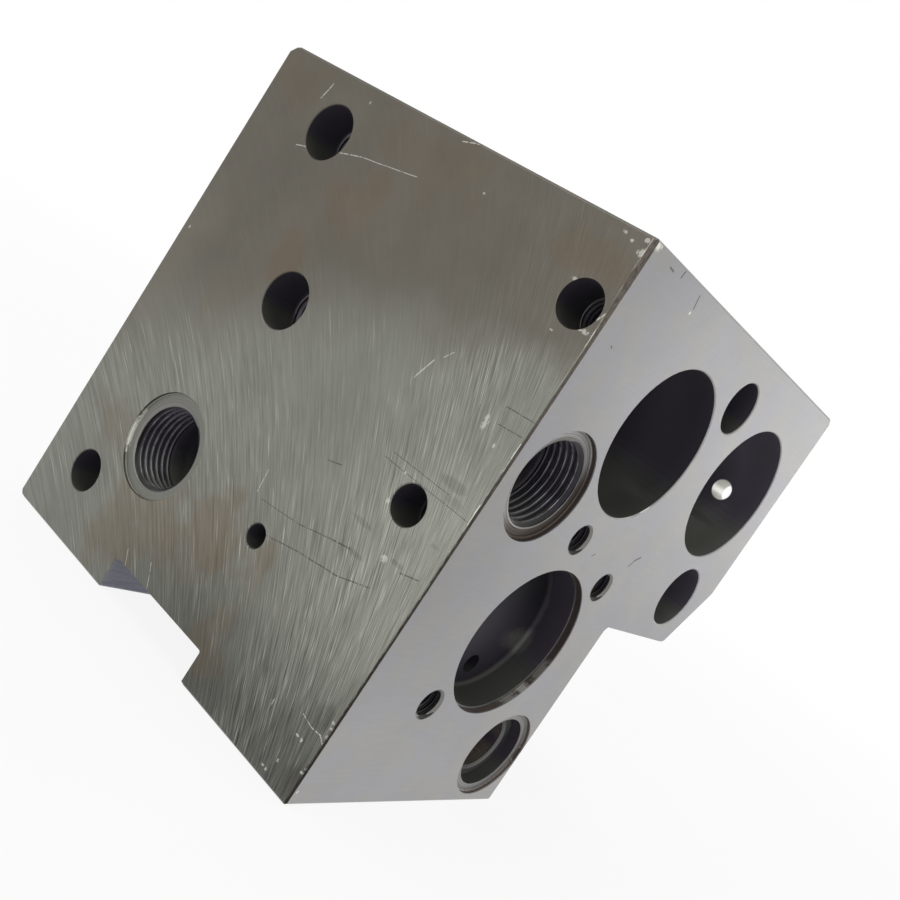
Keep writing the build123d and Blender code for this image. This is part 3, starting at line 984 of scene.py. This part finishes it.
def thread_surface(name, mouth, axis, form, pitch, tail, phase, wear_and_sheen, settings):
    """Inner screw thread as one surface, whose form is its wall's and crests' radii, length and mouth.

    At depth d and angle t the height of the ridge is a rounded saw-tooth of d/pitch + t/360, which
    makes it right-handed, and the radius runs from the wall's in the roots to the crest's on the
    ridges. A cone widens the mouth. Over the last pitch the grooves fill up to the crest's radius,
    which goes on smoothly through the tail's places, pairs of depth and radius. The first and last
    rows lie inside the wall. Wear and sheen is how bright the crests are drawn, from 0 to 1:
    partly worn metal and partly a painted highlight.
    """
    wall, crest, depth, (widening, slope) = form
    root = wall - ROOT_GAP
    start = wall - widening * MM
    rows = int(round(depth / pitch * settings.turn_steps))
    d = np.linspace(0.0, depth, rows)[:, None]
    t = np.linspace(0.0, 2 * math.pi, settings.round_steps, endpoint=False)[None, :]
    turn = (d / pitch + t / (2 * math.pi) + phase) % 1.0
    saw = 1.0 - np.abs(2.0 * turn - 1.0)
    ridge = np.clip((saw - ROOT_FLAT) / FLANKS, 0.0, 1.0)
    ridge = ridge * ridge * (3 - 2 * ridge) * ROUNDED + ridge * STRAIGHT
    run_out = np.clip((depth - d) / pitch, 0.0, 1.0)
    ridge = np.maximum(ridge, 1.0 - run_out)
    cone = start - d * slope + 0 * t
    radius = np.minimum(np.maximum(root + (crest - root) * ridge, cone), root)
    # Crest brightness: partly worn metal, partly a painted highlight
    shine = ridge * run_out * (DULL_CREST + WEAR_AND_SHEEN_MORE * wear_and_sheen)
    worn = np.where(radius > cone + CONE_SLACK, shine, MOUTH_VALUE)
    ends = np.ones_like(t)
    radius = [(wall + WALL_OVERLAP) * ends, start * ends, radius] + [row[1] * ends for row in tail]
    worn = [MOUTH_VALUE * ends, MOUTH_VALUE * ends, worn] + [ROOT_VALUE * ends for row in tail]
    radius, worn = np.concatenate(radius), np.concatenate(worn)
    d = np.concatenate([[[0.0], [0.0]], d] + [[[row[0]]] for row in tail])
    side, up, out = hole_frame(axis)
    ring = np.cos(t)[..., None] * side + np.sin(t)[..., None] * up
    points = np.array(mouth) + radius[..., None] * ring - d[..., None] * out
    return closed_grid(name, points, worn)


def finish_piece(piece, material):
    """Gives a new piece its material and the body that it rides on."""
    piece.data.materials.append(material)
    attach(piece, BODY)


class VALVE_OT_port_threads(bpy.types.Operator):
    """Adds the pipe threads of the side port and the front port."""

    bl_idname = "valve.port_threads"
    bl_label = "Port threads"

    def execute(self, context):
        settings = context.scene.valve_threads
        material = bpy.data.materials["thread_steel"]
        for name, phase in PORT_PHASES.items():
            mount = MOUNTS[name]
            depth = mount["dims"]["length_mm"] * MM
            form = (mount["dims"]["r_mm"] * MM, settings.pipe_crest, depth - PORT_SHORT * MM, PORT_MOUTH)
            tail = [(depth + past * MM, radius * MM) for past, radius in PORT_TAIL]
            piece = thread_surface(name + "_thread", mount["pos_m"], mount["axis"], form, settings.pipe_pitch,
                                   tail, phase, 1.0, settings)
            finish_piece(piece, material)
        return {"FINISHED"}


class VALVE_OT_screw_threads(bpy.types.Operator):
    """Adds the threads of the cover screws, the locating screw, the corner screw and the mounting screws."""

    bl_idname = "valve.screw_threads"
    bl_label = "Screw threads"

    def execute(self, context):
        settings = context.scene.valve_threads
        material = bpy.data.materials["thread_steel"]
        low = CAD_BOX[0]
        front = Vector((0.0, -1.0, 0.0))
        left = Vector((-1.0, 0.0, 0.0))
        inward = left * LEAD_IN * MM
        names = ("cover_screws", "locating_screw", "corner_screw")
        cover, locating, corner = (Vector(MOUNTS[name]["pos_m"]) for name in names)
        aside = MOUNTS["cover_screws"]["dims"]["pcd_mm"] / 2 * MM / math.sqrt(2)
        slanted = Vector((aside, 0, aside))
        upper, lower = (Vector((low.x, low.y + back * MM, up * MM)) for back, up in (UPPER_BOLT, LOWER_BOLT))
        holes = [
            ("cover_thread_upper", "cover", cover + slanted, front),
            ("cover_thread_lower", "cover", cover - slanted, front),
            ("locating_thread", "cover", locating, front),
            ("corner_thread", "corner", corner - inward, left),
            ("mounting_thread_upper", "bolt", upper - inward, left),
            ("mounting_thread_lower", "bolt", lower - inward, left),
        ]
        for name, kind, mouth, axis in holes:
            wall, depth, reach, widening, wear_and_sheen = SCREW_THREADS[kind]
            crest = getattr(settings, kind + "_crest")
            pitch = getattr(settings, kind + "_pitch")
            piece = thread_surface(name, mouth, axis, (wall * MM, crest, depth * MM, widening), pitch,
                                   [(reach * MM, crest)], SCREW_PHASE, wear_and_sheen, settings)
            finish_piece(piece, material)
        return {"FINISHED"}


class VALVE_OT_steel(bpy.types.Operator):
    """Builds the steel finishes and puts the block's finish on its CAD piece."""

    bl_idname = "valve.steel"
    bl_label = "Worked steel"

    def execute(self, context):
        steel = context.scene.valve_steel
        for group in GROUPS:
            group()
        material = steel_material(steel)
        thread_material(steel)
        block = frame["nodes"][BLOCK]
        block.data.materials.clear()
        block.data.materials.append(material)
        return {"FINISHED"}


class VALVE_OT_stage(bpy.types.Operator):
    """Adds the pale floor, the lamps, the sky and the photograph's camera."""

    bl_idname = "valve.stage"
    bl_label = "Stage"

    def execute(self, context):
        stage = context.scene.valve_stage
        scene = context.scene
        self.floor(stage)
        self.sky(scene, stage)
        for name, (place, size) in LAMPS.items():
            self.lamp(name + "_lamp", place, size, getattr(stage, name + "_power"))
        self.camera(scene, stage)
        scene.view_settings.view_transform = "Standard"
        return {"FINISHED"}

    def floor(self, stage):
        """Wide round floor: white to the camera far off, and near the object with its shadow."""
        angle = np.linspace(0, 2 * math.pi, FLOOR_CORNERS, endpoint=False)
        ring = np.stack([np.cos(angle), np.sin(angle), np.zeros(FLOOR_CORNERS)], axis=1)
        mesh = bpy.data.meshes.new("floor")
        mesh.from_pydata((ring * FLOOR_RADIUS).tolist(), [], [list(range(FLOOR_CORNERS))])
        floor = bpy.data.objects.new("floor", mesh)
        bpy.context.scene.collection.objects.link(floor)
        material = bpy.data.materials.new("floor_white")
        material.use_nodes = True
        nodes = material.node_tree.nodes
        net = Net(material.node_tree)
        nodes.remove(nodes["Principled BSDF"])
        matt = net.add("ShaderNodeBsdfDiffuse", {"Color": tuple(stage.floor)})
        glow = net.add("ShaderNodeEmission", {"Color": WHITE, "Strength": 1.0})
        path = net.add("ShaderNodeLightPath").node.outputs
        point = net.add("ShaderNodeTexCoord", output="Object")
        plain = net.ramp(net.vector("LENGTH", point, output=1), 0.16, 0.6, 0.88, 1.0)
        share = net.product(path["Is Camera Ray"], plain)
        share = net.most(share, path["Is Glossy Ray"], path["Is Transmission Ray"])
        mixed = net.add("ShaderNodeMixShader", {0: share, 1: matt, 2: glow})
        net.put(nodes["Material Output"].inputs["Surface"], mixed)
        mesh.materials.append(material)

    def sky(self, scene, stage):
        """Plain sky: white where it is seen straight or in a reflection, and softer as light."""
        world = bpy.data.worlds.new("plain_sky")
        world.use_nodes = True
        net = Net(world.node_tree)
        path = net.add("ShaderNodeLightPath").node.outputs
        seen = net.most(path["Is Camera Ray"], path["Is Glossy Ray"], path["Is Transmission Ray"])
        background = world.node_tree.nodes["Background"].inputs
        net.put(background["Color"], WHITE)
        net.put(background["Strength"], net.blend(seen, stage.sky, 1.0))
        scene.world = world

    def lamp(self, name, place, size, power):
        """Square lamp that faces the middle of the block."""
        data = bpy.data.lights.new(name, "AREA")
        data.size = size
        data.energy = power
        lamp = bpy.data.objects.new(name, data)
        lamp.location = place
        lamp.rotation_euler = (Vector(LAMP_AIM) - Vector(place)).to_track_quat("-Z", "Y").to_euler()
        bpy.context.scene.collection.objects.link(lamp)

    def camera(self, scene, stage):
        """Camera of the photograph, from its right, up and viewing directions and its place."""
        data = bpy.data.cameras.new("photo_camera")
        data.lens = stage.lens
        data.sensor_width = SENSOR_WIDTH
        data.shift_x, data.shift_y = PICTURE_SHIFT
        data.clip_start, data.clip_end = CAMERA_REACH
        camera = bpy.data.objects.new("photo_camera", data)
        turned = Matrix((CAMERA_RIGHT, CAMERA_UP, -CAMERA_AWAY)).transposed().to_4x4()
        camera.matrix_world = Matrix.Translation(CAMERA_PLACE) @ turned
        scene.collection.objects.link(camera)
        scene.camera = camera


class VALVE_PT_looks(bpy.types.Panel):
    """Lists the steps and settings of the valve body's looks."""

    bl_idname = "VALVE_PT_looks"
    bl_label = "Valve body"
    bl_space_type = "VIEW_3D"
    bl_region_type = "UI"
    bl_category = "Valve body"

    def draw(self, context):
        layout = self.layout
        for operator in OPERATORS:
            layout.operator(operator.bl_idname)
        for name in SETTINGS:
            settings = getattr(context.scene, name)
            box = layout.box()
            for key in settings.__annotations__:
                box.prop(settings, key)


OPERATORS = (VALVE_OT_steel, VALVE_OT_port_threads, VALVE_OT_screw_threads, VALVE_OT_stage)
SETTINGS = {"valve_threads": ThreadSettings, "valve_steel": SteelSettings, "valve_stage": StageSettings}
CLASSES = (*SETTINGS.values(), *OPERATORS, VALVE_PT_looks)


def register():
    """Registers the classes and puts the settings on the scene."""
    for item in CLASSES:
        bpy.utils.register_class(item)
    for name, group in SETTINGS.items():
        setattr(bpy.types.Scene, name, PointerProperty(type=group))


def unregister():
    """Takes the settings and the classes away again."""
    for name in SETTINGS:
        delattr(bpy.types.Scene, name)
    for item in reversed(CLASSES):
        bpy.utils.unregister_class(item)


def main():
    register()
    bpy.ops.valve.steel()
    bpy.ops.valve.port_threads()
    bpy.ops.valve.screw_threads()
    bpy.ops.valve.stage()


if __name__ == "__main__":
    main()
